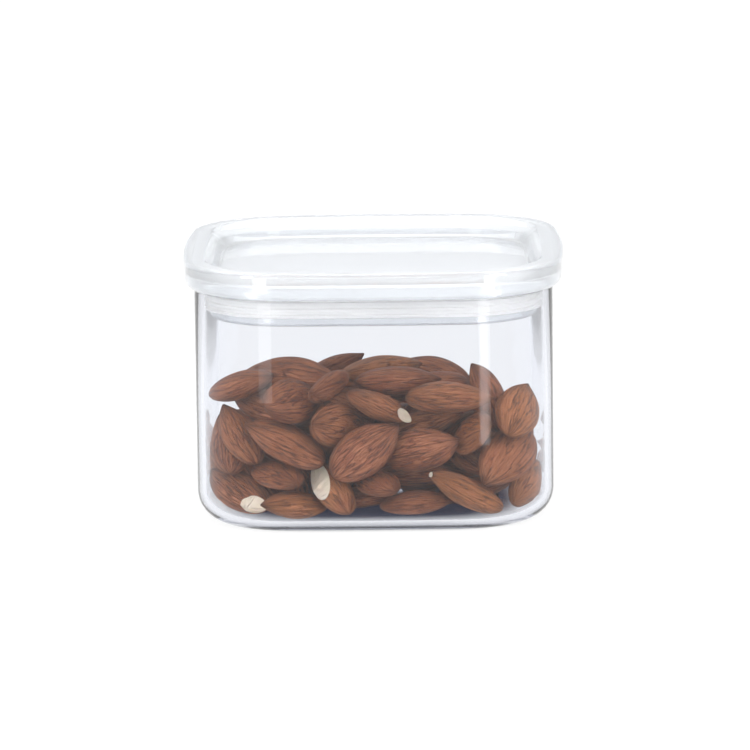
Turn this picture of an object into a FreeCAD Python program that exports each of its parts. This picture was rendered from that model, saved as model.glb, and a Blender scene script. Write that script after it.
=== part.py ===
"""A square glass storage canister with a clear moulded lid, a silicone seal and a fill of almonds.

The glass jar is a rounded square whose sides bow out a little. The lid is a one-piece moulding: a shallow tray on top,
a skirt that hangs over the jar's rim and a hollow plug that goes down inside the mouth. The seal is a ring of silicone
that sits in a groove round the plug. The almonds are poured in: they are placed by a small settling calculation that
follows the jar's own sizes, so that they always fit the jar.

Units are millimetres, +Z is up, and the origin is the middle of the jar's underside.
"""

import FreeCAD, Part
import math
import os
import random

import Sketcher
from FreeCAD import Matrix, Placement, Rotation, Vector

# name, value, what it is. Every size that can be set by itself is one row.
SIZES = [
    ("jar_width", 100.0, "jar, outside, across the middle of two sides"),
    ("jar_height", 69.3, "jar, from the table to the top of its rim"),
    ("jar_corner_radius", 26.0, "jar, outside, upright corners"),
    ("jar_side_radius", 870.0, "jar, outside, how gently each side bows"),
    ("wall", 2.2, "jar, glass thickness at the sides"),
    ("floor", 2.4, "jar, glass thickness at the bottom"),
    ("heel_radius", 8.3, "jar, outside, bottom edge"),
    ("rim_round", 0.9, "jar, fire-polished rim"),
    ("punt_depth", 0.7, "jar, how far the underside is hollowed"),
    ("punt_margin", 16.0, "jar, from the outside of the wall to the punt"),
    ("punt_round", 0.5, "jar, edge of the punt"),
    ("skirt_wall", 2.95, "lid, thickness of the skirt at the middle of a side"),
    ("lid_corner_extra", 1.7, "lid, how much larger its corner radius is than the jar's"),
    ("lid_side_radius", 276.0, "lid, how gently each side bows"),
    ("lid_rise", 4.0, "lid, from the jar's rim to the lid's top"),
    ("skirt_drop", 3.7, "lid, how far the skirt hangs below the jar's rim"),
    ("skirt_gap", 0.4, "clearance between skirt and glass"),
    ("rim_gap", 0.3, "clearance between the jar's rim and the lid"),
    ("skirt_round", 2.6, "lid, lower outer edge"),
    ("top_round", 1.3, "lid, upper outer edge"),
    ("lip_round", 0.8, "lid, inner edge of the lip"),
    ("tray_depth", 5.3, "lid, how deep the tray on top is"),
    ("tray_top_inset", 2.8, "lid, tray at its top, inside the jar's outline"),
    ("tray_floor_inset", 6.9, "lid, tray at its floor, inside the jar's outline"),
    ("tray_round", 1.6, "lid, between tray wall and tray floor"),
    ("plate", 2.8, "lid, thickness of the tray's floor"),
    ("plug_gap", 1.9, "from the glass to the plug, filled by the seal"),
    ("plug_wall", 2.4, "lid, thickness of the plug"),
    ("plug_depth", 11.6, "lid, how far the plug goes below the jar's rim"),
    ("plug_round", 0.7, "lid, lower edges of the plug"),
    ("groove_depth", 1.0, "lid, groove that holds the seal"),
    ("groove_drop", 4.3, "lid, from the jar's rim to the top of the groove"),
    ("seal_height", 5.0, "seal, its height, which fills the groove"),
    ("seal_band", 1.5, "seal, thickness of its band"),
    ("seal_gap", 0.25, "clearance between the seal's fins and the glass"),
    ("fin_height", 0.8, "seal, thickness of one fin"),
    ("fin_pitch", 1.8, "seal, from one fin to the next"),
    ("fin_margin", 0.3, "seal, below its lowest fin"),
    ("fin_round", 0.3, "seal, edges of the fins"),
    ("nut_length", 24.0, "almond, from its blunt end to its point"),
    ("nut_width", 14.5, "almond, across its face"),
    ("nut_thickness", 8.7, "almond, through its flat"),
    ("nut_nose_radius", 6.0, "almond, blunt end"),
    ("nut_tip_radius", 1.2, "almond, pointed end"),
    ("nut_gap", 0.5, "clearance round every almond"),
    ("headspace", 12.8, "from the plug's foot down to the level that no almond passes"),
]
FIN_COUNT = 3
LAYER_COUNT = 6  # the almonds are exported in this many layers
PACKED_SHARE = 0.45  # how much of the pile is almond
SEED = 15

# Outlines come in families of parallel curves: half width, corner radius, side radius.
JAR_OUTLINE = ("Sizes.jar_width / 2", "Sizes.jar_corner_radius", "Sizes.jar_side_radius")
LID_OUTLINE = (
    "(Sizes.jar_width / 2 + Sizes.skirt_gap + Sizes.skirt_wall)",
    "(Sizes.jar_corner_radius + Sizes.lid_corner_extra)",
    "Sizes.lid_side_radius",
)
# Heights and insets that several features share.
RIM = "Sizes.jar_height"
LID_TOP = f"({RIM} + Sizes.lid_rise)"
SKIRT_FOOT = f"({RIM} - Sizes.skirt_drop)"
PLUG_FOOT = f"({RIM} - Sizes.plug_depth)"
PILE_TOP = f"({PLUG_FOOT} - Sizes.headspace)"
PLATE_UNDERSIDE = f"({LID_TOP} - Sizes.tray_depth - Sizes.plate)"
GROOVE_TOP = f"({RIM} - Sizes.groove_drop)"
GROOVE_FOOT = f"({GROOVE_TOP} - Sizes.seal_height)"
PLUG_INSET = "(Sizes.wall + Sizes.plug_gap)"
GROOVE_INSET = f"({PLUG_INSET} + Sizes.groove_depth)"
FIN_INSET = "(Sizes.wall + Sizes.seal_gap)"
FILL_HEIGHT = f"(({PILE_TOP} - Sizes.floor) / 1.22)"  # the pile's mean height

ON_LEVEL = 1e-3
ON_OUTLINE = 0.01

doc = FreeCAD.newDocument("canister")
sheet = doc.addObject("Spreadsheet::Sheet", "Sizes")
for number, (alias, value, note) in enumerate(SIZES, start=1):
    sheet.set(f"A{number}", note)
    sheet.set(f"B{number}", str(value))
    sheet.setAlias(f"B{number}", alias)
doc.recompute()


def value_of(expression):
    """The number that an expression on the sheet gives."""
    return float(sheet.evalExpression(expression))


# ---------------------------------------------------------------- sketches


def new_sketch(body, name, level="0"):
    """An empty sketch on the body's own XY plane, raised to a level."""
    sketch = body.newObject("Sketcher::SketchObject", name)
    base = next(f for f in body.Origin.OriginFeatures if f.Role == "XY_Plane")
    sketch.AttachmentSupport = (base, [""])
    sketch.MapMode = "FlatFace"
    sketch.setExpression("AttachmentOffset.Base.z", level)
    return sketch


def constrain(sketch, kind, *arguments):
    return sketch.addConstraint(Sketcher.Constraint(kind, *arguments))


def drive(sketch, expression, kind, *arguments):
    """A dimension whose value follows an expression on the sheet."""
    index = constrain(sketch, kind, *arguments, value_of(expression))
    sketch.setExpression(f"Constraints[{index}]", expression)


class Outline:
    """A rounded square of four side arcs and four corner arcs, parallel to its family and inset from it."""

    def __init__(self, family, inset="0"):
        self.half_rule, self.corner_rule, self.side_rule = (f"{size} - {inset}" for size in family)
        self.side_centre_rule = f"{family[2]} - {family[0]}"
        self.half, self.corner, self.side = (
            value_of(rule) for rule in (self.half_rule, self.corner_rule, self.side_rule)
        )
        self.side_centre = self.half - self.side
        reach = self.side - self.corner
        self.corner_centre = (self.side_centre + math.sqrt(2 * reach**2 - self.side_centre**2)) / 2
        self.spread = math.atan2(self.corner_centre, self.corner_centre - self.side_centre)

    def gap(self, x, y):
        """Distance inwards from the outline, and the direction straight inwards."""
        across, along = abs(x), abs(y)
        swapped = along > across
        if swapped:
            across, along = along, across
        out_x, out_y = across - self.corner_centre, along - self.corner_centre
        if math.atan2(out_y, out_x) > self.spread and out_x + out_y > 0:
            distance = math.hypot(out_x, out_y)
            inwards = self.corner - distance
        else:
            out_x, out_y = across - self.side_centre, along
            distance = math.hypot(out_x, out_y)
            inwards = self.side - distance
        nx, ny = -out_x / distance, -out_y / distance
        if swapped:
            nx, ny = ny, nx
        return inwards, nx * math.copysign(1, x), ny * math.copysign(1, y)

    def carries(self, edge):
        """Whether an edge of a shape lies on the outline."""
        middle = edge.valueAt((edge.FirstParameter + edge.LastParameter) / 2)
        return abs(self.gap(middle.x, middle.y)[0]) < ON_OUTLINE


def jar_line(inset):
    return Outline(JAR_OUTLINE, inset)


def lid_line(inset):
    return Outline(LID_OUTLINE, inset)


def add_outline(sketch, outline):
    """Draws an outline with its dimensions on a sketch."""
    quarter = math.pi / 2
    up = Vector(0, 0, 1)
    first = sketch.GeometryCount
    for turn in range(4):
        start = turn * quarter
        turned = Rotation(up, math.degrees(start))
        at_side = turned.multVec(Vector(outline.side_centre, 0, 0))
        at_corner = turned.multVec(Vector(outline.corner_centre, outline.corner_centre, 0))
        side_circle = Part.Circle(at_side, up, outline.side)
        corner_circle = Part.Circle(at_corner, up, outline.corner)
        side_ends = start - outline.spread, start + outline.spread
        corner_ends = start + outline.spread, start + quarter - outline.spread
        sketch.addGeometry(Part.ArcOfCircle(side_circle, *side_ends), False)
        sketch.addGeometry(Part.ArcOfCircle(corner_circle, *corner_ends), False)
    sides = [first + 2 * turn for turn in range(4)]
    corners = [first + 2 * turn + 1 for turn in range(4)]
    for turn in range(4):
        constrain(sketch, "Tangent", sides[turn], 2, corners[turn], 1)
        constrain(sketch, "Tangent", corners[turn], 2, sides[(turn + 1) % 4], 1)
        constrain(sketch, "PointOnObject", sides[turn], 3, -1 - turn % 2)
        drive(sketch, outline.side_centre_rule, "Distance", sides[turn], 3, -1, 1)
        if turn:
            constrain(sketch, "Equal", sides[0], sides[turn])
            constrain(sketch, "Equal", corners[0], corners[turn])
    drive(sketch, outline.side_rule, "Radius", sides[0])
    drive(sketch, outline.corner_rule, "Radius", corners[0])


def outline_sketch(body, name, level, *outlines):
    """A sketch of one or two outlines. Two make a ring."""
    sketch = new_sketch(body, name, level)
    for outline in outlines:
        add_outline(sketch, outline)
    return sketch


# ---------------------------------------------------------------- features


def extrude(body, kind, name, sketch, length, upward=True):
    """A pad or a pocket that runs up or down from its sketch."""
    feature = body.newObject(f"PartDesign::{kind}", name)
    feature.Profile = sketch
    feature.setExpression("Length", length)
    feature.Reversed = upward if kind == "Pocket" else not upward
    doc.recompute()
    return feature


def edges_at(shape, level, outline=None):
    """The names of the level edges of a shape that lie at a height, and on an outline if one is given."""
    names = []
    for index, edge in enumerate(shape.Edges, start=1):
        box = edge.BoundBox
        on_level = abs(box.ZMin - level) < ON_LEVEL and abs(box.ZMax - level) < ON_LEVEL
        if on_level and (outline is None or outline.carries(edge)):
            names.append(f"Edge{index}")
    return names


def round_edges(body, name, base, level, radius, outline=None):
    """Rounds the edges of a feature at a height."""
    fillet = body.newObject("PartDesign::Fillet", name)
    fillet.Base = (base, edges_at(base.Shape, value_of(level), outline))
    fillet.setExpression("Radius", radius)
    doc.recompute()
    return fillet


def new_body(label):
    body = doc.addObject("PartDesign::Body", label)
    body.Label = label
    return body


# ---------------------------------------------------------------- glass jar


def build_jar():
    """A blown rounded-square jar with a soft heel, a polished rim and a shallow punt."""
    body = new_body("glass_jar")
    outside = outline_sketch(body, "jar_outside", "0", jar_line("0"))
    extrude(body, "Pad", "jar_block", outside, RIM)
    inside = outline_sketch(body, "jar_inside", RIM, jar_line("Sizes.wall"))
    hollow = extrude(body, "Pocket", "jar_hollow", inside, f"{RIM} - Sizes.floor", upward=False)
    inner_heel = round_edges(body, "jar_inner_heel", hollow, "Sizes.floor", "Sizes.heel_radius - Sizes.wall")
    heel = round_edges(body, "jar_heel", inner_heel, "0", "Sizes.heel_radius")
    round_edges(body, "jar_rim", heel, RIM, "Sizes.rim_round")
    under = outline_sketch(body, "jar_punt_outline", "0", jar_line("Sizes.punt_margin"))
    punt = extrude(body, "Pocket", "jar_punt", under, "Sizes.punt_depth")
    round_edges(body, "jar_punt_edge", punt, "Sizes.punt_depth", "Sizes.punt_round")
    return body


# ---------------------------------------------------------------- lid


def cut_tray(body):
    """The tray on top of the lid, whose walls lean outwards."""
    floor_level = f"({LID_TOP} - Sizes.tray_depth)"
    mouth_line = jar_line("Sizes.tray_top_inset")
    mouth = outline_sketch(body, "tray_mouth", LID_TOP, mouth_line)
    bottom = outline_sketch(body, "tray_bottom", floor_level, jar_line("Sizes.tray_floor_inset"))
    tray = body.newObject("PartDesign::SubtractiveLoft", "tray")
    tray.Profile = mouth
    tray.Sections = [bottom]
    tray.Ruled = True
    doc.recompute()
    floor_edge = round_edges(body, "tray_floor_edge", tray, floor_level, "Sizes.tray_round")
    round_edges(body, "tray_lip_edge", floor_edge, LID_TOP, "Sizes.lip_round", mouth_line)


def build_lid():
    """One clear moulding: skirt, lip, tray, and a hollow plug with a groove for the seal."""
    body = new_body("lid")
    outside = outline_sketch(body, "lid_outside", SKIRT_FOOT, lid_line("0"))
    cap = extrude(body, "Pad", "lid_cap", outside, f"{LID_TOP} - {SKIRT_FOOT}")
    skirt_edge = round_edges(body, "lid_skirt_edge", cap, SKIRT_FOOT, "Sizes.skirt_round")
    round_edges(body, "lid_top_edge", skirt_edge, LID_TOP, "Sizes.top_round")

    plug_outline = outline_sketch(body, "plug_outside", SKIRT_FOOT, jar_line(PLUG_INSET))
    plug = extrude(body, "Pad", "plug_block", plug_outline, f"{SKIRT_FOOT} - {PLUG_FOOT}", upward=False)
    round_edges(body, "plug_foot_edge", plug, PLUG_FOOT, "Sizes.plug_round")

    channel_lines = jar_line("(0 - Sizes.skirt_gap)"), jar_line(PLUG_INSET)
    channel_outline = outline_sketch(body, "rim_channel_outline", SKIRT_FOOT, *channel_lines)
    extrude(body, "Pocket", "rim_channel", channel_outline, "Sizes.skirt_drop + Sizes.rim_gap")

    inside = outline_sketch(body, "plug_inside", PLUG_FOOT, jar_line(f"({PLUG_INSET} + Sizes.plug_wall)"))
    hollow = extrude(body, "Pocket", "plug_hollow", inside, f"{PLATE_UNDERSIDE} - {PLUG_FOOT}")
    round_edges(body, "plug_hollow_edge", hollow, PLATE_UNDERSIDE, "Sizes.plug_round")

    groove_lines = jar_line(FIN_INSET), jar_line(GROOVE_INSET)
    groove_outline = outline_sketch(body, "seal_groove_outline", GROOVE_TOP, *groove_lines)
    extrude(body, "Pocket", "seal_groove", groove_outline, "Sizes.seal_height", upward=False)
    cut_tray(body)
    return body


# ---------------------------------------------------------------- seal


def build_seal():
    """A silicone band that fills the plug's groove, with soft fins towards the glass."""
    body = new_body("silicone_seal")
    band_lines = jar_line(f"({GROOVE_INSET} - Sizes.seal_band)"), jar_line(GROOVE_INSET)
    band_outline = outline_sketch(body, "seal_band_outline", GROOVE_FOOT, *band_lines)
    extrude(body, "Pad", "seal_band", band_outline, "Sizes.seal_height")
    fin_lines = jar_line(FIN_INSET), jar_line(f"({GROOVE_INSET} - Sizes.seal_band / 2)")
    for number in range(FIN_COUNT):
        level = f"({GROOVE_FOOT} + Sizes.fin_margin + {number} * Sizes.fin_pitch)"
        fin_outline = outline_sketch(body, f"fin_outline_{number + 1}", level, *fin_lines)
        fin = extrude(body, "Pad", f"fin_{number + 1}", fin_outline, "Sizes.fin_height")
        under = round_edges(body, f"fin_{number + 1}_under", fin, level, "Sizes.fin_round", fin_lines[0])
        over_level = f"{level} + Sizes.fin_height"
        round_edges(body, f"fin_{number + 1}_over", under, over_level, "Sizes.fin_round", fin_lines[0])
    return body


# ---------------------------------------------------------------- one almond


def almond_profile():
    """The belly arc of an almond's outline, tangent to the nose and tip circles: its centre and radius."""
    length, half_width = value_of("Sizes.nut_length"), value_of("Sizes.nut_width / 2")
    nose, tip = value_of("Sizes.nut_nose_radius"), value_of("Sizes.nut_tip_radius")
    low, high = 0.0, 10 * length
    for _ in range(60):
        drop = (low + high) / 2
        from_nose = math.sqrt((half_width - nose + drop) ** 2 - drop**2)
        from_tip = math.sqrt((half_width - tip + drop) ** 2 - drop**2)
        if nose + from_nose + from_tip + tip > length:
            high = drop
        else:
            low = drop
    return Vector(nose + from_nose - length / 2, -drop, 0), half_width + drop


def build_almond():
    """The pattern that every almond is a copy of: a round drop, turned from three tangent arcs."""
    body = new_body("almond_pattern")
    sketch = new_sketch(body, "almond_outline")
    length = value_of("Sizes.nut_length")
    nose, tip = value_of("Sizes.nut_nose_radius"), value_of("Sizes.nut_tip_radius")
    centre, belly = almond_profile()
    nose_centre = Vector(nose - length / 2, 0, 0)
    tip_centre = Vector(length / 2 - tip, 0, 0)
    to_nose = math.atan2(-centre.y, nose_centre.x - centre.x)
    to_tip = math.atan2(-centre.y, tip_centre.x - centre.x)
    up = Vector(0, 0, 1)
    sketch.addGeometry(Part.ArcOfCircle(Part.Circle(nose_centre, up, nose), to_nose, math.pi), False)
    sketch.addGeometry(Part.ArcOfCircle(Part.Circle(centre, up, belly), to_tip, to_nose), False)
    sketch.addGeometry(Part.ArcOfCircle(Part.Circle(tip_centre, up, tip), 0, to_tip), False)
    sketch.addGeometry(Part.LineSegment(Vector(-length / 2, 0, 0), Vector(length / 2, 0, 0)), False)
    sketch.addGeometry(Part.Point(Vector(centre.x, centre.y + belly, 0)), True)
    constrain(sketch, "Tangent", 2, 2, 1, 1)
    constrain(sketch, "Tangent", 1, 2, 0, 1)
    constrain(sketch, "Coincident", 3, 1, 0, 2)
    constrain(sketch, "Coincident", 3, 2, 2, 1)
    for geometry, point in ((0, 2), (0, 3), (2, 1), (2, 3)):
        constrain(sketch, "PointOnObject", geometry, point, -1)
    constrain(sketch, "PointOnObject", 4, 1, 1)
    constrain(sketch, "Vertical", 4, 1, 1, 3)
    drive(sketch, "Sizes.nut_nose_radius", "Radius", 0)
    drive(sketch, "Sizes.nut_tip_radius", "Radius", 2)
    drive(sketch, "Sizes.nut_length", "DistanceX", 3, 1, 3, 2)
    drive(sketch, "Sizes.nut_length / 2", "DistanceX", 3, 1, -1, 1)
    drive(sketch, "Sizes.nut_width / 2", "DistanceY", -1, 1, 4, 1)
    turned = body.newObject("PartDesign::Revolution", "almond_drop")
    turned.Profile = sketch
    turned.ReferenceAxis = (sketch, ["H_Axis"])
    doc.recompute()
    return body


# ---------------------------------------------------------------- the pile

# Almonds that are set against the front glass by hand, before the rest are poured in behind them. Across is a share of
# the half width inside, up is from the floor and back is from the front glass. Lean is the point's direction in the
# front plane, dive is how far the point turns to the back, roll turns the flat face away, and size is its growth.
SET_BY_HAND = [
    # across, up, back, lean, dive, roll, size
    (-0.50, 20.0, 5.2, 149, 0, 35, 1.05),
    (-0.09, 19.4, 5.2, 47, 0, 5, 1.00),
    (0.25, 15.6, 8.5, 22, -8, 8, 1.02),
    (0.39, 31.0, 9.0, 5, 0, 60, 1.05),
    (0.33, 26.5, 10.0, 22, 0, 65, 1.02),
    (0.60, 22.8, 7.0, 170, 50, 15, 0.95),
    (0.77, 15.1, 6.5, 230, 0, 12, 1.04),
    (0.86, 26.0, 12.0, 100, 60, 20, 0.90),
    (0.60, 30.0, 15.0, 135, 10, 50, 0.95),
    (0.13, 36.0, 15.0, 8, 0, 70, 1.03),
    (0.30, 36.0, 26.0, 155, 0, 60, 1.05),
    (0.32, 33.5, 17.0, 175, 0, 60, 0.95),
    (0.04, 30.5, 10.0, -15, 0, 75, 0.90),
    (-0.22, 26.8, 7.0, 15, 50, 15, 0.95),
    (-0.27, 33.3, 12.0, 20, 40, 60, 0.80),
    (-0.50, 29.5, 10.0, 30, 60, 10, 0.95),
    (-0.66, 31.0, 16.0, 150, 30, 50, 0.95),
    (-0.61, 33.0, 30.0, 10, 40, 60, 1.00),
    (-0.44, 34.5, 18.0, 165, 0, 60, 1.00),
    (-0.28, 35.0, 28.0, 20, 0, 60, 1.00),
    (-0.14, 33.0, 26.0, 160, 40, 60, 0.95),
    (-0.78, 31.3, 10.0, 38, 0, 60, 1.00),
    (-0.82, 25.2, 9.0, 120, 40, 45, 0.86),
    (-0.79, 19.4, 10.0, 100, 50, 30, 0.86),
    (-0.92, 14.7, 16.0, 95, 0, 90, 1.00),
    (-0.82, 6.8, 8.5, 160, 20, 45, 0.90),
    (-0.70, 11.8, 12.0, 125, 0, 80, 0.95),
    (-0.64, 18.0, 16.0, 60, 50, 40, 0.90),
    (-0.54, 11.9, 10.0, 175, 45, 50, 0.90),
    (-0.51, 4.6, 6.0, 177, 0, 75, 0.88),
    (-0.25, 8.2, 9.0, 135, 35, 60, 0.90),
    (-0.02, 9.8, 11.0, 165, 45, 60, 0.80),
    (-0.08, 4.4, 6.5, 15, 0, 80, 0.88),
    (0.27, 4.6, 6.5, 10, 0, 80, 0.90),
    (0.53, 8.0, 6.0, 145, 0, 75, 1.02),
    (0.53, 15.7, 13.0, 150, 55, 60, 0.80),
    (0.85, 5.6, 12.0, 60, 40, 40, 0.90),
    (0.90, 15.0, 18.0, 90, 0, 85, 0.95),
    (0.24, 9.8, 18.0, 10, 0, 60, 0.95),
]

# An almond is filled by balls for the settling: place along it, as a share of its length from the blunt end, and place
# across it, as a share of its half width there.
BALLS = [(along, 0.0) for along in (0.10, 0.21, 0.33, 0.45, 0.57, 0.69, 0.80, 0.89, 0.95)]
BALLS += [(along, side) for along in (0.12, 0.25, 0.38, 0.51, 0.64, 0.77) for side in (-0.52, 0.52)]
ROOM_TAKEN = 0.975  # share of its room that an almond fills
SIZE_SPREAD = 0.08  # poured almonds differ by this share
HEAP = 0.12  # each layer of the poured almonds is this share narrower than the one under it
FLAT_LEAN = 35  # poured almonds lie within this many degrees of flat
HELD_WEIGHT = 8.0  # an almond that is set by hand moves this much less than a poured one
FALL_STEP = 0.4  # how far a poured almond tries to fall in one step
HOLD = 0.3  # how strongly an almond that is set by hand is drawn back in one step
FRONT_TO_BACK = 0.2  # share of that hold from front to back
FALL_STEPS = 170
REST_STEPS = 200
EASE = 10.0  # contacts that one step can take out in full
LONGEST_MOVE = 1.5  # in one step
LARGEST_TURN = 0.15  # in one step, in radians


def drop_radius(along):
    """The almond's half width at a share of its length from the blunt end."""
    length, nose = value_of("Sizes.nut_length"), value_of("Sizes.nut_nose_radius")
    tip = value_of("Sizes.nut_tip_radius")
    centre, belly = almond_profile()
    place = along * length
    at = place - length / 2
    radius = centre.y + math.sqrt(max(belly**2 - (at - centre.x) ** 2, 0))
    if place < nose:
        radius = min(radius, math.sqrt(nose**2 - (nose - place) ** 2))
    if length - place < tip:
        radius = min(radius, math.sqrt(tip**2 - (tip - length + place) ** 2))
    return radius


def ball_pattern():
    """The balls of a standard almond: place along, place across and radius, each inside the almond."""
    length, half_width = value_of("Sizes.nut_length"), value_of("Sizes.nut_width / 2")
    flat = value_of("Sizes.nut_thickness / 2") / half_width
    pattern = []
    for along, side in BALLS:
        reach = drop_radius(along)
        radius = flat * reach * math.sqrt(1 - side**2 / (1 - flat**2))
        pattern.append(((along - 0.5) * length, side * reach, radius + value_of("Sizes.nut_gap / 2")))
    return pattern


class Almond:
    """One almond of the pile: where it is, how it is turned, how large it is and how firmly it is held."""

    def __init__(self, place, rotation, size, weight):
        self.place = list(place)
        self.rotation = rotation
        self.home = list(place), Rotation(rotation)
        self.size = size
        self.weight = weight

    def return_home(self, pull):
        """Draws an almond that is set by hand back towards its place, but least of all from front to back."""
        place, rotation = self.home
        for index, share in enumerate((1.0, FRONT_TO_BACK, 1.0)):
            self.place[index] += share * pull * (place[index] - self.place[index])
        self.rotation = self.rotation.slerp(rotation, pull)

    def shape_from(self, pattern_shape, flat):
        scaling = Matrix()
        size = self.size * ROOM_TAKEN
        scaling.scale(size, size, size * flat)
        shape = pattern_shape.transformGeometry(scaling)
        shape.Placement = Placement(Vector(*self.place), self.rotation)
        return shape


class JarSpace:
    """The space inside the jar, as distances from its glass."""

    def __init__(self):
        self.outline = jar_line("Sizes.wall")
        self.half = self.outline.half
        self.floor = value_of("Sizes.floor")
        self.heel = value_of("Sizes.heel_radius - Sizes.wall")

    def pushes(self, x, y, z, radius):
        """How far a ball reaches into the glass, and which way is out of it."""
        gap, nx, ny = self.outline.gap(x, y)
        height = z - self.floor
        if gap < self.heel and height < self.heel:
            out, down = self.heel - gap, self.heel - height
            distance = math.hypot(out, down)
            depth = distance + radius - self.heel
            if depth > 0:
                yield depth, nx * out / distance, ny * out / distance, down / distance
            return
        if radius > gap:
            yield radius - gap, nx, ny, 0.0
        if radius > height:
            yield radius - height, 0.0, 0.0, 1.0


def set_almonds(space):
    """The almonds that are set by hand against the front glass."""
    almonds = []
    for across, up, back, lean, dive, roll, size in SET_BY_HAND:
        place = (across * space.half, back - space.half, space.floor + up)
        if up > value_of(FILL_HEIGHT) * 1.2:
            continue
        lean, dive, roll = math.radians(lean), math.radians(dive), math.radians(roll)
        along = Vector(math.cos(lean) * math.cos(dive), math.sin(dive), math.sin(lean) * math.cos(dive))
        across_face = Vector(-math.sin(lean), 0, math.cos(lean))
        through = along.cross(across_face)
        width = across_face * math.cos(roll) + through * math.sin(roll)
        almonds.append(Almond(place, Rotation(along, width, along.cross(width), "XYZ"), size, HELD_WEIGHT))
    return almonds


def poured_almonds(space, count):
    """The rest of the almonds, laid out loosely over the ones that are set, ready to fall."""
    chance = random.Random(SEED)
    length, width = value_of("Sizes.nut_length"), value_of("Sizes.nut_width")
    thickness = value_of("Sizes.nut_thickness")
    front, reach = -space.half + 1.4 * width, space.half - 0.35 * length
    columns = max(int(2 * reach / (0.72 * length)), 1)
    rows = max(int((reach - front) / (0.72 * length)), 1)
    almonds = []
    for number in range(count):
        layer, spot = divmod(number, columns * rows)
        row, column = divmod(spot, columns)
        spread = reach * (1 - HEAP * layer)
        x = -spread + (column + chance.uniform(0.2, 0.8)) * 2 * spread / columns
        y = front + (row + chance.uniform(0.2, 0.8)) * (reach - front) / rows
        z = space.floor + thickness * (0.6 + 1.15 * layer + chance.uniform(0, 0.4))
        turn = Rotation(Vector(0, 0, 1), chance.uniform(0, 360))
        tilt = Rotation(Vector(1, 0, 0), chance.uniform(-FLAT_LEAN, FLAT_LEAN))
        pitch = Rotation(Vector(0, 1, 0), chance.uniform(-FLAT_LEAN, FLAT_LEAN))
        size = 1 + chance.uniform(-SIZE_SPREAD, SIZE_SPREAD)
        almonds.append(Almond((x, y, z), turn * tilt * pitch, size, 1.0))
    return almonds


def place_balls(almonds, pattern):
    """Every ball of every almond: its centre, radius, almond and arm from the almond's middle."""
    balls = []
    for number, almond in enumerate(almonds):
        px, py, pz = almond.place
        matrix = almond.rotation.toMatrix()
        for along, across, radius in pattern:
            u, v = along * almond.size, across * almond.size
            ax = matrix.A11 * u + matrix.A12 * v
            ay = matrix.A21 * u + matrix.A22 * v
            az = matrix.A31 * u + matrix.A32 * v
            balls.append((px + ax, py + ay, pz + az, radius * almond.size, number, ax, ay, az))
    return balls


def near_pairs(balls, cell):
    """Pairs of balls of different almonds that lie in the same or neighbouring cells of a grid."""
    grid = {}
    for ball in balls:
        key = (int(ball[0] // cell), int(ball[1] // cell), int(ball[2] // cell))
        grid.setdefault(key, []).append(ball)
    steps = [(i, j, k) for i in (-1, 0, 1) for j in (-1, 0, 1) for k in (-1, 0, 1) if (i, j, k) > (0, 0, 0)]
    for (i, j, k), group in grid.items():
        for index, ball in enumerate(group):
            for other in group[index + 1 :]:
                if other[4] != ball[4]:
                    yield ball, other
        for di, dj, dk in steps:
            for other in grid.get((i + di, j + dj, k + dk), ()):
                for ball in group:
                    if other[4] != ball[4]:
                        yield ball, other


class Push:
    """What the contacts of one step do to one almond: a move, a turn, and how many there are."""

    def __init__(self):
        self.move = [0.0, 0.0, 0.0]
        self.turn = [0.0, 0.0, 0.0]
        self.contacts = 0

    def add(self, move, turn):
        for index in range(3):
            self.move[index] += move[index]
            self.turn[index] += turn[index]
        self.contacts += 1

    def apply_to(self, almond):
        if not self.contacts:
            return
        ease = EASE / (EASE + self.contacts)
        turn = math.sqrt(sum(value**2 for value in self.turn))
        move = math.sqrt(sum(value**2 for value in self.move))
        ease = ease * min(1.0, LONGEST_MOVE / max(ease * move, 1e-9), LARGEST_TURN / max(ease * turn, 1e-9))
        for index in range(3):
            almond.place[index] += ease * self.move[index]
        if turn > 1e-9:
            almond.rotation = Rotation(Vector(*self.turn), math.degrees(ease * turn)) * almond.rotation


def part_balls(ball, other, away, depth, almonds, pushes, swing):
    """Shares an overlap between the almonds of two balls. Without another ball, the glass takes none of it."""
    nx, ny, nz = away
    sides = []
    for item, sign in ((ball, 1.0), (other, -1.0)):
        if item is None:
            continue
        ax, ay, az = item[5:]
        turn = (ay * nz - az * ny, az * nx - ax * nz, ax * ny - ay * nx)
        give = (1 + (turn[0] ** 2 + turn[1] ** 2 + turn[2] ** 2) / swing) / almonds[item[4]].weight
        sides.append((item[4], sign, turn, give))
    total = sum(side[3] for side in sides)
    for number, sign, turn, _ in sides:
        share = sign * depth / total / almonds[number].weight
        move = (share * nx, share * ny, share * nz)
        pushes[number].add(move, [share * value / swing for value in turn])


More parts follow.
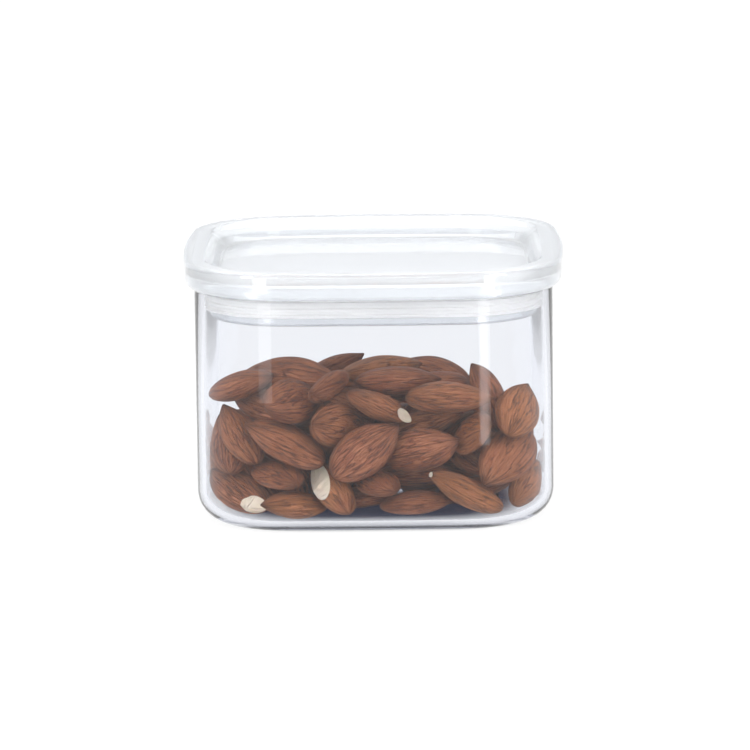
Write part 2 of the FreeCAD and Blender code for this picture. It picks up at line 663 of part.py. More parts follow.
def settle(almonds, space):
    """Lets the almonds fall and pushes them apart, step by step, until the pile is at rest."""
    pattern = ball_pattern()
    cell = 2 * max(radius for _, _, radius in pattern) * (1 + SIZE_SPREAD)
    swing = (value_of("Sizes.nut_length") ** 2 + value_of("Sizes.nut_width") ** 2) / 20
    ceiling = value_of(PILE_TOP)
    for step in range(FALL_STEPS + REST_STEPS):
        calm = max(0.0, 1 - step / FALL_STEPS)
        for almond in almonds:
            if almond.weight > 1:
                almond.return_home(HOLD * calm)
            else:
                almond.place[2] -= FALL_STEP * calm
        pushes = [Push() for _ in almonds]
        balls = place_balls(almonds, pattern)
        for ball, other in near_pairs(balls, cell):
            dx, dy, dz = ball[0] - other[0], ball[1] - other[1], ball[2] - other[2]
            reach = ball[3] + other[3]
            squared = dx * dx + dy * dy + dz * dz
            if 0 < squared < reach * reach:
                distance = math.sqrt(squared)
                away = dx / distance, dy / distance, dz / distance
                part_balls(ball, other, away, reach - distance, almonds, pushes, swing)
        for ball in balls:
            for depth, *away in space.pushes(*ball[:4]):
                part_balls(ball, None, away, depth, almonds, pushes, swing)
            over = ball[2] + ball[3] - ceiling
            if over > 0:
                part_balls(ball, None, (0.0, 0.0, -1.0), over, almonds, pushes, swing)
        for almond, push in zip(almonds, pushes):
            push.apply_to(almond)


def build_almonds():
    """The pile, as one object for each layer of it."""
    space = JarSpace()
    pattern_shape = build_almond().Shape
    flat = value_of("Sizes.nut_thickness / Sizes.nut_width")
    area = Part.Face(Part.Wire(doc.getObject("jar_inside").Shape.Edges)).Area
    count = round(area * value_of(FILL_HEIGHT) * PACKED_SHARE / (pattern_shape.Volume * flat))
    almonds = set_almonds(space)
    almonds += poured_almonds(space, count - len(almonds))
    settle(almonds, space)
    almonds.sort(key=lambda almond: almond.place[2])
    layers = []
    for number in range(LAYER_COUNT):
        start, end = (round(len(almonds) * edge / LAYER_COUNT) for edge in (number, number + 1))
        layer = doc.addObject("Part::Feature", f"almonds_layer_{number + 1}")
        layer.Label = layer.Name
        layer.Shape = Part.makeCompound([almond.shape_from(pattern_shape, flat) for almond in almonds[start:end]])
        layers.append(layer)
    return layers


# ---------------------------------------------------------------- checks and export


def check(document, parts):
    """Stops the script if any feature failed or any piece isn't made of sound solids."""
    for item in document.Objects:
        if {"Invalid", "Error"} & set(item.State):
            raise RuntimeError(f"{item.Label} failed: {item.State}")
    for piece in parts:
        shape = piece.Shape
        if shape.isNull() or not shape.isValid() or not shape.Solids:
            raise RuntimeError(f"{piece.Label} isn't a valid solid")
        print(f"{piece.Label}: {len(shape.Solids)} solids, {shape.Volume / 1000:.2f} cm3")


def main():
    parts = [build_jar(), build_lid(), build_seal()]
    parts += build_almonds()
    doc.recompute()
    check(doc, parts)
    os.makedirs("parts", exist_ok=True)
    for piece in parts:
        piece.Shape.exportStep(f"parts/{piece.Label}.step")


main()
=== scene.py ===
"""The looks of a square glass storage canister with a clear tray lid, a silicone seal and a fill of almonds.

The jar, lid and seal are drawn as rings of a rounded square that are extruded along a rounded profile. Each
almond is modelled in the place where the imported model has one.
"""

import math
import random

import bmesh
import bpy
import numpy as np
from mathutils import Matrix, Vector, noise


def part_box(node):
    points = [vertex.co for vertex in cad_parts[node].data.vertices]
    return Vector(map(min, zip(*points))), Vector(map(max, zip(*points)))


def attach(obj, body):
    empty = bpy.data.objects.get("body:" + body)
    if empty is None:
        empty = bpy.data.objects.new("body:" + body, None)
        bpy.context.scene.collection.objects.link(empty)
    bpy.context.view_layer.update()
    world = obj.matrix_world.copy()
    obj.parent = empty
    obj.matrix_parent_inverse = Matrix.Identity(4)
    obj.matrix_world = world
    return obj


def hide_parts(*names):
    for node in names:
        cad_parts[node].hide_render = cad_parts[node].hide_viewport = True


bl_info = {
    "name": "Almond canister",
    "version": (1, 0, 0),
    "blender": (4, 5, 0),
    "location": "3D View > Sidebar > Canister",
    "description": "Builds a glass canister with a tray lid, a seal and almonds",
    "category": "Add Mesh",
}

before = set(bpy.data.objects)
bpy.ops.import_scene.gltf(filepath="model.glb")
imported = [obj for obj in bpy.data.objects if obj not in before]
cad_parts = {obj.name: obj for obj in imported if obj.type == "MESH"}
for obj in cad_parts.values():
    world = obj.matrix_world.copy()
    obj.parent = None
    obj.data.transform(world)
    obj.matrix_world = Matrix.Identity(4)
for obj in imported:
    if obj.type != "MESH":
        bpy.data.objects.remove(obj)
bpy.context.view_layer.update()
JAR_LOW, JAR_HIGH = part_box("glass_jar")
LID_LOW, LID_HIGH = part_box("lid")
SEAL_LOW, SEAL_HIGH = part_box("silicone_seal")
ALMOND_NODES = sorted(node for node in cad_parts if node.startswith("almonds_layer"))

MM = 0.001
CORNER_SPOTS = 20  # points on one corner of an outline
SIDE_SPOTS = 14  # points on one side of an outline
BEND_STEPS = 7  # points on one rounded corner of a profile
CRISP = 0.1 * MM  # rounding of an edge that looks sharp
SEAL_SLACK = 0.02 * MM  # how far the seal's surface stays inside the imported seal
SEAL_FINS = 3


# ---------------------------------------------------------------- settings


def number(name, description, value, **kind):
    return bpy.props.FloatProperty(name=name, description=description, default=value, **kind)


def length(name, description, value):
    return number(name, description, value, unit="LENGTH", precision=5)


def share(name, description, value):
    return number(name, description, value, min=0.0, max=1.0)


def tilt(name, description, value):
    return number(name, description, value, subtype="ANGLE")


def colour(name, description, value):
    return bpy.props.FloatVectorProperty(
        name=name, description=description, default=value, subtype="COLOR", size=3
    )


class CanisterJarSettings(bpy.types.PropertyGroup):
    """Sizes and finish of the glass jar"""

    half_width: length("Half width", "From the middle to a side, outside", JAR_HIGH.x)
    corner_radius: length("Corner radius", "Upright corners, outside", 26.0 * MM)
    side_radius: length("Side radius", "How gently each side bows", 870.0 * MM)
    wall: length("Wall", "Glass thickness at the sides", 2.2 * MM)
    floor: length("Floor", "Glass thickness at the bottom", 2.4 * MM)
    heel_radius: length("Heel radius", "Bottom edge, outside", 8.3 * MM)
    rim_round: length("Rim round", "Fire-polished rim", 0.9 * MM)
    punt_depth: length("Punt depth", "How far the underside is hollowed", 0.7 * MM)
    punt_margin: length("Punt margin", "From the wall's outside to the punt", 16.0 * MM)
    tint: colour("Tint", "Colour of the glass", (0.925, 0.930, 0.938))
    depth_tint: colour("Depth tint", "Colour that thick glass takes on", (0.50, 0.62, 1.0))
    ripple: share("Ripple", "How much the glass surface waves", 0.04)


class CanisterLidSettings(bpy.types.PropertyGroup):
    """Sizes and finish of the clear lid"""

    half_width: length("Half width", "From the middle to a side, outside", LID_HIGH.x)
    corner_radius: length("Corner radius", "Upright corners, outside", 27.7 * MM)
    side_radius: length("Side radius", "How gently each side bows", 276.0 * MM)
    skirt_foot: length("Skirt foot", "Height of the skirt's lower edge", JAR_HIGH.z - 3.7 * MM)
    skirt_gap: length("Skirt gap", "Clearance between skirt and glass", 0.4 * MM)
    rim_gap: length("Rim gap", "Clearance between the jar's rim and the lid", 0.3 * MM)
    skirt_round: length("Skirt round", "Lower outer edge", 2.6 * MM)
    top_round: length("Top round", "Upper outer edge", 1.3 * MM)
    lip_round: length("Lip round", "Inner edge of the lip", 0.8 * MM)
    tray_depth: length("Tray depth", "How deep the tray is", 5.3 * MM)
    tray_top_inset: length("Tray top inset", "Tray mouth, inside the jar's outline", 2.8 * MM)
    tray_floor_inset: length("Tray floor inset", "Tray floor, inside the jar's outline", 6.9 * MM)
    tray_round: length("Tray round", "Between tray wall and tray floor", 1.6 * MM)
    plate: length("Plate", "Thickness of the tray's floor", 2.8 * MM)
    plug_inset: length("Plug inset", "Outside of the plug, inside the jar's outline", 4.1 * MM)
    plug_wall: length("Plug wall", "Thickness of the plug", 2.4 * MM)
    plug_round: length("Plug round", "Lower edges of the plug", 0.7 * MM)
    groove_depth: length("Groove depth", "Groove that holds the seal", 1.0 * MM)
    tint: colour("Tint", "Colour of the lid's plastic", (0.90, 0.92, 0.945))
    haze: share("Haze", "How milky the plastic looks", 0.26)


class CanisterSealSettings(bpy.types.PropertyGroup):
    """Sizes and finish of the silicone seal"""

    band: length("Band", "Thickness of the band in the groove", 1.5 * MM)
    groove_inset: length("Groove inset", "Floor of the groove, inside the jar's outline", 5.1 * MM)
    fin_inset: length("Fin inset", "Tips of the fins, inside the jar's outline", 2.45 * MM)
    fin_height: length("Fin height", "Thickness of one fin", 0.8 * MM)
    fin_pitch: length("Fin pitch", "From one fin to the next", 1.8 * MM)
    fin_margin: length("Fin margin", "Below the lowest fin", 0.3 * MM)
    silicone: colour("Silicone", "Colour of the seal", (1.0, 0.995, 0.98))
    # Painted glow: the seal shines a little by itself, to lift it where the lid and the glass shade it.
    silicone_painted_glow: share("Glow", "Light that the thin silicone scatters on from behind", 0.09)


class CanisterAlmondSettings(bpy.types.PropertyGroup):
    """Shape and colours of the almonds"""

    nut_length: length("Length", "From the blunt end to the point", 24.0 * MM)
    nut_width: length("Width", "Across the face", 14.5 * MM)
    nut_thickness: length("Thickness", "Through the flat", 8.7 * MM)
    nose_radius: length("Nose radius", "Blunt end", 6.0 * MM)
    tip_radius: length("Tip radius", "Pointed end", 1.2 * MM)
    dents: length("Dents", "Depth of the broad hollows in the skin", 0.55 * MM)
    wrinkles: length("Wrinkles", "Depth of the lengthwise wrinkles", 0.16 * MM)
    calm_ends: length("Calm ends", "Nearer to the axis than this, hollows and wrinkles fade", 2.2 * MM)
    skin_dark: colour("Skin, dark", "Bottom of the wrinkles", (0.068, 0.020, 0.008))
    skin_brown: colour("Skin, brown", "Most of the skin", (0.300, 0.090, 0.037))
    skin_golden: colour("Skin, golden", "Skin of the palest almonds", (0.41, 0.145, 0.048))
    skin_tan: colour("Skin, tan", "Top of the wrinkles", (0.57, 0.225, 0.105))
    skin_warm: colour("Skin, warm", "Blotches on the skin", (0.30, 0.065, 0.022))
    kernel: colour("Kernel", "Inside of a broken almond", (0.88, 0.76, 0.60))


class CanisterStageSettings(bpy.types.PropertyGroup):
    """Floor, lights and camera"""

    floor_colour: colour("Floor", "Colour of the floor", (0.10, 0.10, 0.10))
    floor_glow: share("Floor glow", "How brightly the floor itself shines", 0.90)
    # Painted shadow: under the jar the floor glows only this dim blue, and it fades to the full glow between
    # the two reaches.
    painted_shadow_colour: colour("Under glow", "What shines from the floor beneath the jar", (0.016, 0.022, 0.055))
    painted_shadow_reach: length("Under reach", "The floor is dim out to here", 36 * MM)
    painted_shadow_end: length("Glow reach", "The floor shines fully from here on", 45 * MM)
    sky_strength: number("Sky", "Strength of the even light", 1.0)
    horizon: colour("Horizon", "Colour of the surround at the horizon", (0.90, 0.93, 0.97))
    horizon_height: share("Horizon height", "Where the surround turns white, as a share", 0.55)
    softbox_power: number("Softboxes", "Power of each soft light", 7.0, unit="POWER")
    card_power: number("Cards", "Power of the cards that draw streaks on the glass", 0.14, unit="POWER")
    camera_distance: length("Camera distance", "From the camera to its aim", 1.515)
    camera_aim: length("Camera aim", "Height that the camera looks at", 35.5 * MM)
    camera_rise: tilt("Camera rise", "Angle above the table", math.radians(10.7))
    camera_turn: tilt("Camera turn", "Angle round from the front", math.radians(-0.38))
    camera_roll: tilt("Camera roll", "Lean of the picture", -0.012)
    camera_lens: number("Lens", "Focal length in millimetres", 257.4)


# ---------------------------------------------------------------- rounded-square rings


class Outline:
    """A rounded square of spots, each with the centre and radius of its arc and its direction outwards."""

    def __init__(self, half, corner, side):
        self.half = half
        side_centre = half - side
        reach = side - corner
        corner_centre = (side_centre + math.sqrt(2 * reach**2 - side_centre**2)) / 2
        spread = math.atan2(corner_centre, corner_centre - side_centre)
        self.spots = []
        for turn in range(4):
            start = turn * math.pi / 2
            for index in range(SIDE_SPOTS):
                angle = start - spread + 2 * spread * index / SIDE_SPOTS
                self.add_spot(start, side_centre, 0.0, side, angle)
            for index in range(CORNER_SPOTS):
                angle = start + spread + (math.pi / 2 - 2 * spread) * index / CORNER_SPOTS
                self.add_spot(start, corner_centre, corner_centre, corner, angle)

    def add_spot(self, turn, x, y, radius, angle):
        centre = Matrix.Rotation(turn, 2) @ Vector((x, y))
        self.spots.append((centre, radius, Vector((math.cos(angle), math.sin(angle)))))

    def point(self, index, out, z):
        """The spot's place when the outline is drawn at a distance out from the middle of a side."""
        centre, radius, direction = self.spots[index]
        place = centre + direction * (radius + out - self.half)
        return place.x, place.y, z


def rounded(corners, closed=False):
    """A profile with its corners rounded: each corner is (outline, distance out, height, radius)."""
    profile = []
    count = len(corners)
    for index, (outline, x, z, radius) in enumerate(corners):
        at_end = index in (0, count - 1) and not closed
        if at_end or radius <= 0:
            profile.append((outline, x, z))
            continue
        here = Vector((x, z))
        before = (Vector(corners[index - 1][1:3]) - here).normalized()
        after = (Vector(corners[(index + 1) % count][1:3]) - here).normalized()
        half_angle = before.angle(after) / 2
        tangent = radius / math.tan(half_angle)
        centre = here + (before + after).normalized() * radius / math.sin(half_angle)
        start = here + before * tangent - centre
        sweep = start.angle_signed(here + after * tangent - centre)
        for step in range(BEND_STEPS + 1):
            place = centre + Matrix.Rotation(-sweep * step / BEND_STEPS, 2) @ start
            profile.append((outline, place.x, place.y))
    return profile


def ring_mesh(profile, closed=False):
    """Extrudes a ring along a profile. An open profile is capped, and a closed one meets its start."""
    bm = bmesh.new()
    spot = bm.verts.layers.int.new("spot")
    outline, x, z = profile[0]
    ring = bmesh.ops.create_circle(bm, segments=len(outline.spots), radius=x)["verts"]
    for index, vertex in enumerate(ring):
        vertex[spot] = index
        vertex.co = outline.point(index, x, z)
    first = edges = list(bm.edges)
    if not closed:
        bmesh.ops.contextual_create(bm, geom=first)
    for outline, x, z in profile[1:]:
        made = bmesh.ops.extrude_edge_only(bm, edges=edges)["geom"]
        ring = {item for item in made if isinstance(item, bmesh.types.BMVert)}
        edges = [item for item in made if isinstance(item, bmesh.types.BMEdge) and set(item.verts) <= ring]
        for vertex in ring:
            vertex.co = outline.point(vertex[spot], x, z)
    if closed:
        bmesh.ops.bridge_loops(bm, edges=first + edges)
    else:
        bmesh.ops.contextual_create(bm, geom=edges)
    bmesh.ops.recalc_face_normals(bm, faces=bm.faces)
    return bm


def finished_piece(bm, name, materials, body, nodes, sharp=35):
    """Makes an object of a bmesh, with its materials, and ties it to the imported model."""
    mesh = bpy.data.meshes.new(name)
    bm.to_mesh(mesh)
    bm.free()
    mesh.shade_smooth()
    if sharp:
        mesh.set_sharp_from_angle(angle=math.radians(sharp))
    for material in materials:
        mesh.materials.append(material)
    piece = bpy.data.objects.new(name, mesh)
    bpy.context.scene.collection.objects.link(piece)
    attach(piece, body)
    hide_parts(*nodes)


# ---------------------------------------------------------------- materials


class Finish:
    """A material with one Principled shader, and short ways to add nodes to it."""

    def __init__(self, name, tint, **sockets):
        self.material = bpy.data.materials.new(name)
        self.material.use_nodes = True
        self.tree = self.material.node_tree
        self.shader = self.tree.nodes["Principled BSDF"]
        self.shader.inputs["Base Color"].default_value = (*tint, 1.0)
        for socket, value in sockets.items():
            self.shader.inputs[socket.replace("_", " ")].default_value = value

    def node(self, kind, inputs=None, **settings):
        """A node with its settings, whose inputs are values or other nodes' outputs."""
        made = self.tree.nodes.new(f"ShaderNode{kind}")
        for setting, value in settings.items():
            setattr(made, setting, value)
        for socket, value in (inputs or {}).items():
            self.feed(made.inputs[socket], value)
        return made

    def feed(self, socket, value):
        if isinstance(value, bpy.types.NodeSocket):
            self.tree.links.new(value, socket)
        else:
            socket.default_value = value

    def noise(self, place, scale, detail=2.0, roughness=0.5, distortion=0.0):
        inputs = {"Vector": place, "Scale": scale, "Detail": detail}
        inputs |= {"Roughness": roughness, "Distortion": distortion}
        return self.node("TexNoise", inputs).outputs["Fac"]

    def spread(self, value, low, high, to_low=0.0, to_high=1.0):
        """Stretches a range of a value to another range, and stops at its ends."""
        inputs = {"Value": value, "From Min": low, "From Max": high, "To Min": to_low, "To Max": to_high}
        return self.node("MapRange", inputs).outputs["Result"]

    def mix(self, factor, first, second):
        """Mixes two colours. The sockets are numbered, because those for colours share their names."""
        made = self.node("Mix", {0: factor, 6: first, 7: second}, data_type="RGBA")
        return made.outputs[2]

    def maths(self, operation, *values):
        made = self.node("Math", operation=operation)
        for socket, value in zip(made.inputs, values):
            self.feed(socket, value)
        return made.outputs[0]

    def attribute(self, name, output="Fac"):
        return self.node("Attribute", attribute_name=name).outputs[output]

    def object_place(self):
        return self.node("TexCoord").outputs["Object"]

    def bump(self, height, strength, distance):
        made = self.node("Bump", {"Height": height, "Strength": strength, "Distance": distance})
        self.feed(self.shader.inputs["Normal"], made.outputs["Normal"])


def jar_glass(settings):
    """Clear glass with the slow ripple of a pressed and polished wall, and a trace of handling."""
    finish = Finish("jar_glass", settings.tint, Roughness=0.0, IOR=1.34, Transmission_Weight=1.0)
    depth = finish.node("VolumeAbsorption", {"Color": (*settings.depth_tint, 1.0), "Density": 20.0})
    finish.feed(finish.tree.nodes["Material Output"].inputs["Volume"], depth.outputs["Volume"])
    place = finish.object_place()
    ripple = finish.noise(place, 24.0, detail=1.0)
    smear = finish.noise(place, 60.0, detail=3.0)
    finish.feed(finish.shader.inputs["Roughness"], finish.spread(smear, 0.45, 0.8, 0.0, 0.05))
    finish.bump(ripple, settings.ripple, 0.4 * MM)
    return finish.material


def lid_plastic(settings):
    """Clear moulded plastic: glossy, a little milky, with a faint satin from handling."""
    finish = Finish("lid_plastic", settings.tint, IOR=1.49, Transmission_Weight=1.0 - settings.haze)
    finish.shader.inputs["Coat Weight"].default_value = 0.5
    finish.shader.inputs["Coat Roughness"].default_value = 0.03
    place = finish.object_place()
    smear = finish.noise(place, 45.0, detail=4.0)
    flow = finish.noise(place, 18.0, detail=1.0)
    finish.feed(finish.shader.inputs["Roughness"], finish.spread(smear, 0.35, 0.8, 0.07, 0.15))
    finish.bump(flow, 0.05, 0.3 * MM)
    return finish.material


def seal_silicone(settings):
    """Translucent satin silicone with a fine dusty grain, and a painted glow that lifts the seal where the
    lid shades it.
    """
    finish = Finish("seal_silicone", settings.silicone, Roughness=0.3, IOR=1.25, Transmission_Weight=0.5)
    place = finish.object_place()
    grain = finish.noise(place, 900.0, detail=2.0)
    cloud = finish.noise(place, 70.0, detail=2.0)
    tone = finish.spread(cloud, 0.3, 0.7)
    dusty = (*(0.96 * value for value in settings.silicone), 1.0)
    finish.feed(finish.shader.inputs["Base Color"], finish.mix(tone, dusty, (*settings.silicone, 1.0)))
    finish.feed(finish.shader.inputs["Roughness"], finish.spread(cloud, 0.3, 0.7, 0.38, 0.55))
    finish.bump(grain, 0.25, 0.05 * MM)
    # Painted glow: the silicone shines faintly in its own colour, though no lamp is in it, to brighten the
    # shaded seal.
    finish.shader.inputs["Emission Color"].default_value = (*settings.silicone, 1.0)
    finish.shader.inputs["Emission Strength"].default_value = settings.silicone_painted_glow
    return finish.material


def almond_skin(settings):
    """Brown papery skin: lengthwise wrinkles, broad mottling, a dusty bloom and a darker point."""
    finish = Finish("almond_skin", settings.skin_brown, Roughness=0.55, IOR=1.45)
    grain = finish.attribute("grain", "Vector")
    tone = finish.attribute("tone")
    along = finish.attribute("along")
    place = finish.object_place()
    veins = finish.noise(grain, 4.2, detail=2.5, roughness=0.5, distortion=0.3)
    threads = finish.noise(grain, 10.0, detail=2.0, roughness=0.5, distortion=0.2)
    mottle = finish.noise(place, 190.0, detail=3.0)
    pores = finish.noise(place, 1500.0, detail=2.0)

    crease, thread = (
        finish.spread(finish.maths("ABSOLUTE", finish.maths("SUBTRACT", value, 0.5)), 0.0, width)
        for value, width in ((veins, 0.060), (threads, 0.075))
    )
    relief = finish.maths("ADD", finish.maths("MULTIPLY", crease, 0.6), finish.maths("MULTIPLY", thread, 0.4))
    golden = finish.spread(tone, 0.55, 0.9)
    brown = finish.mix(golden, (*settings.skin_brown, 1.0), (*settings.skin_golden, 1.0))
    skin = finish.mix(finish.spread(relief, 0.0, 0.8), (*settings.skin_dark, 1.0), brown)
    ridges, patches = finish.spread(relief, 0.6, 1.0), finish.spread(mottle, 0.35, 0.7, 0.1, 0.8)
    skin = finish.mix(finish.maths("MULTIPLY", ridges, patches), skin, (*settings.skin_tan, 1.0))
    warm = finish.spread(mottle, 0.55, 0.75, 0.0, 0.4)
    skin = finish.mix(warm, skin, (*settings.skin_warm, 1.0))
    point = finish.spread(along, 0.90, 1.0, 0.0, 0.55)
    skin = finish.mix(point, skin, (*settings.skin_dark, 1.0))
    finish.feed(finish.shader.inputs["Base Color"], skin)
    finish.feed(finish.shader.inputs["Roughness"], finish.spread(relief, 0.1, 0.9, 0.34, 0.60))
    height = finish.maths("ADD", relief, finish.maths("MULTIPLY", pores, 0.12))
    finish.bump(height, 1.0, 0.45 * MM)
    return finish.material


def almond_kernel(settings):
    """The cream inside of a broken almond, with a faint grain."""
    finish = Finish("almond_kernel", settings.kernel, Roughness=0.5, Subsurface_Weight=0.15)
    finish.shader.inputs["Subsurface Radius"].default_value = (1.2 * MM, 0.7 * MM, 0.4 * MM)
    place = finish.object_place()
    cloud = finish.noise(place, 260.0, detail=3.0)
    cream = tuple(min(1.0, 1.1 * value) for value in settings.kernel)
    inside = finish.mix(finish.spread(cloud, 0.3, 0.7), (*settings.kernel, 1.0), (*cream, 1.0))
    finish.feed(finish.shader.inputs["Base Color"], inside)
    finish.bump(cloud, 0.4, 0.15 * MM)
    return finish.material


def floor_paper_painted_shadow(settings):
    """Plain white paper on a light table, which glows evenly everywhere but under the jar, where a dim blue
    glow paints the jar's shadow.
    """
    finish = Finish("floor_paper_painted_shadow", settings.floor_colour, Roughness=0.9, IOR=1.3)
    place = finish.node("VectorMath", {0: finish.object_place()}, operation="ABSOLUTE").outputs["Vector"]
    split = finish.node("SeparateXYZ", {0: place})
    across, back = (finish.maths("POWER", split.outputs[axis], 4.0) for axis in "XY")
    reach = finish.maths("POWER", finish.maths("ADD", across, back), 0.25)
    # Mask of the painted shadow under the jar: nought inside the first reach, one beyond the second.
    outside = finish.spread(reach, settings.painted_shadow_reach, settings.painted_shadow_end)
    bright = settings.floor_glow
    glow = finish.mix(outside, (*settings.painted_shadow_colour, 1.0), (bright, bright, bright, 1.0))
    finish.feed(finish.shader.inputs["Emission Color"], glow)
    finish.shader.inputs["Emission Strength"].default_value = 1.0
    return finish.material


# ---------------------------------------------------------------- jar, lid and seal


def jar_outline(settings):
    return Outline(settings.half_width, settings.corner_radius, settings.side_radius)


def jar_mesh(settings):
    """The glass from the middle of its underside, up the outside, over the rim and down to its floor."""
    outline = jar_outline(settings)
    out, top = settings.half_width, JAR_HIGH.z
    inner, punt = out - settings.wall, out - settings.punt_margin
    inner_heel = settings.heel_radius - settings.wall
    rim = settings.rim_round
    punt_slope, punt_bend, foot_bend = 0.9 * MM, 0.4 * MM, 0.3 * MM
    flat_margin = 1.0 * MM
    corners = [
        (punt - flat_margin, settings.punt_depth, 0.0),
        (punt, settings.punt_depth, punt_bend),
        (punt + punt_slope, 0.0, foot_bend),
        (out - settings.heel_radius - foot_bend, 0.0, 0.0),
        (out, 0.0, settings.heel_radius),
        (out, top / 2, 0.0),
        (out, top, rim),
        (inner, top, rim),
        (inner, top / 2, 0.0),
        (inner, settings.floor, inner_heel),
        (inner - inner_heel - flat_margin, settings.floor, 0.0),
    ]
    return ring_mesh(rounded([(outline, *corner) for corner in corners]))


def lid_mesh(settings, jar):
    """The lid from the middle of its tray, over the lip, down the skirt and round the plug to the middle."""
    inside = jar_outline(jar)
    outside = Outline(settings.half_width, settings.corner_radius, settings.side_radius)
    out, lid = jar.half_width, settings.half_width
    top, foot = LID_HIGH.z, settings.skirt_foot
    tray_floor = top - settings.tray_depth
    underside = tray_floor - settings.plate
    roof = JAR_HIGH.z + settings.rim_gap
    plug = out - settings.plug_inset
    hollow = plug - settings.plug_wall
    groove = plug - settings.groove_depth
    tray_mouth, tray_edge = out - settings.tray_top_inset, out - settings.tray_floor_inset
    tray_margin, hollow_margin, lip = 3.0 * MM, 2.0 * MM, 1.6 * MM
    inner_bend = 0.25 * MM
    corners = [
        (inside, tray_edge - tray_margin, tray_floor, 0.0),
        (inside, tray_edge, tray_floor, settings.tray_round),
        (inside, tray_mouth, top, settings.lip_round),
        (inside, tray_mouth + lip, top, 0.0),
        (outside, lid, top, settings.top_round),
        (outside, lid, foot, settings.skirt_round),
        (inside, out + settings.skirt_gap, foot, inner_bend),
        (inside, out + settings.skirt_gap, roof, inner_bend),
        (inside, plug, roof, inner_bend),
        (inside, plug, SEAL_HIGH.z, CRISP),
        (inside, groove, SEAL_HIGH.z, CRISP / 2),
        (inside, groove, SEAL_LOW.z, CRISP / 2),
        (inside, plug, SEAL_LOW.z, CRISP),
        (inside, plug, LID_LOW.z, settings.plug_round),
        (inside, hollow, LID_LOW.z, settings.plug_round),
        (inside, hollow, underside, settings.plug_round),
        (inside, hollow - hollow_margin, underside, 0.0),
    ]
    return ring_mesh(rounded(corners))


def seal_mesh(settings, jar):
    """The seal: a band in the lid's groove, with fins that reach towards the glass."""
    outline = jar_outline(jar)
    groove = jar.half_width - settings.groove_inset + SEAL_SLACK
    tip = jar.half_width - settings.fin_inset
    band = groove + settings.band
    low, high = SEAL_LOW.z + SEAL_SLACK, SEAL_HIGH.z - SEAL_SLACK
    tip_bend = 0.3 * MM
    corners = [(groove, low, 0.0), (band, low, CRISP)]
    for fin in range(SEAL_FINS):
        level = SEAL_LOW.z + settings.fin_margin + fin * settings.fin_pitch
        above = level + settings.fin_height
        corners += [(band, level, CRISP), (tip, level, tip_bend)]
        corners += [(tip, above, tip_bend), (band, above, CRISP)]
    corners += [(band, high, CRISP), (groove, high, 0.0)]
    return ring_mesh(rounded([(outline, *corner) for corner in corners], closed=True), closed=True)


# ---------------------------------------------------------------- almonds

HALVINGS = 60  # how often the range of an almond's side arc is halved
NOSE_STEPS, BELLY_STEPS, TIP_STEPS = 9, 20, 5  # lengths of each arc of an almond's profile
ROUND_STEPS = 38  # lengths round an almond
WELD = 0.002 * MM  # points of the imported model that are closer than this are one
END_SHARE = 0.38  # an almond's ends lie beyond this share of its length from its middle

ALMOND_SEED = 7
NOISE_REACH = 50  # how far apart the almonds' places in the noise can be
PLUMP = (0.90, 1.0)  # range of an almond's thickness, as a share
LEAN = (-0.5, 0.5)  # range of four times an almond's bow to one side, in millimetres
RIDGE = (0.0, 0.10)  # range of how much an almond's ends are narrowed, as a share
HOLLOW_WAVES = (3.0, 0.9)  # how fast the broad hollows change along and round an almond
WRINKLE_WAVES = (1.4, 5.0)  # how fast the wrinkles change along and round an almond
GRAIN_STRETCH = 0.55  # how fast the skin's grain changes along an almond, against round it

FRONT = -18 * MM  # almonds whose middles are nearer than this lie against the front of the jar
KERNEL_EDGE = 0.25 * MM  # width of the soft edge round a kernel face
KERNEL_RISE = 0.1 * MM  # how far that edge lifts the face
KERNEL_ROUGHNESS = 0.5 * MM
KERNEL_GRAIN = 700  # waves of a kernel face's roughness in a metre

# Almonds that are broken or scuffed. Each is the one nearest to a place in the front of the jar, in
# millimetres across and up. A slice of some depth in millimetres is taken off the side facing a direction.
BROKEN = [
    ((-39.0, 9.2), (0.20, -0.93, 0.32), 0.8),
    ((-12.0, 10.6), (-0.62, -0.50, 0.60), 2.8),
    ((1.0, 33.5), (0.88, -0.48, -0.05), 1.3),
    ((25.3, 10.4), (-0.80, -0.30, 0.57), 0.9),
]


def almond_profile(settings):
    """Half of an almond's outline, from the blunt end to the point: places along and distances out.

    It is an arc for the nose, one for the belly and one for the tip, and each runs smoothly into the next.
    The belly's centre is dropped past the axis, as far as makes the outline as long as the almond.
    """
    half, nose, tip = settings.nut_width / 2, settings.nose_radius, settings.tip_radius
    low, high = 0.0, 10 * settings.nut_length
    for _ in range(HALVINGS):
        drop = (low + high) / 2
        from_nose = math.sqrt((half - nose + drop) ** 2 - drop**2)
        from_tip = math.sqrt((half - tip + drop) ** 2 - drop**2)
        if nose + from_nose + from_tip + tip > settings.nut_length:
            high = drop
        else:
            low = drop
    middle = nose + from_nose
    to_nose, to_tip = math.atan2(drop, -from_nose), math.atan2(drop, from_tip)
    arcs = [
        (nose, 0.0, nose, math.pi, to_nose, NOSE_STEPS),
        (middle, -drop, half + drop, to_nose, to_tip, BELLY_STEPS),
        (middle + from_tip, 0.0, tip, to_tip, 0.0, TIP_STEPS),
    ]
    profile = []
    for x, y, radius, start, end, steps in arcs:
        for step in range(1 if profile else 0, steps + 1):
            angle = start + (end - start) * step / steps
            place = x + radius * math.cos(angle) - settings.nut_length / 2
            profile.append((place, max(y + radius * math.sin(angle), 0.0)))
    return profile


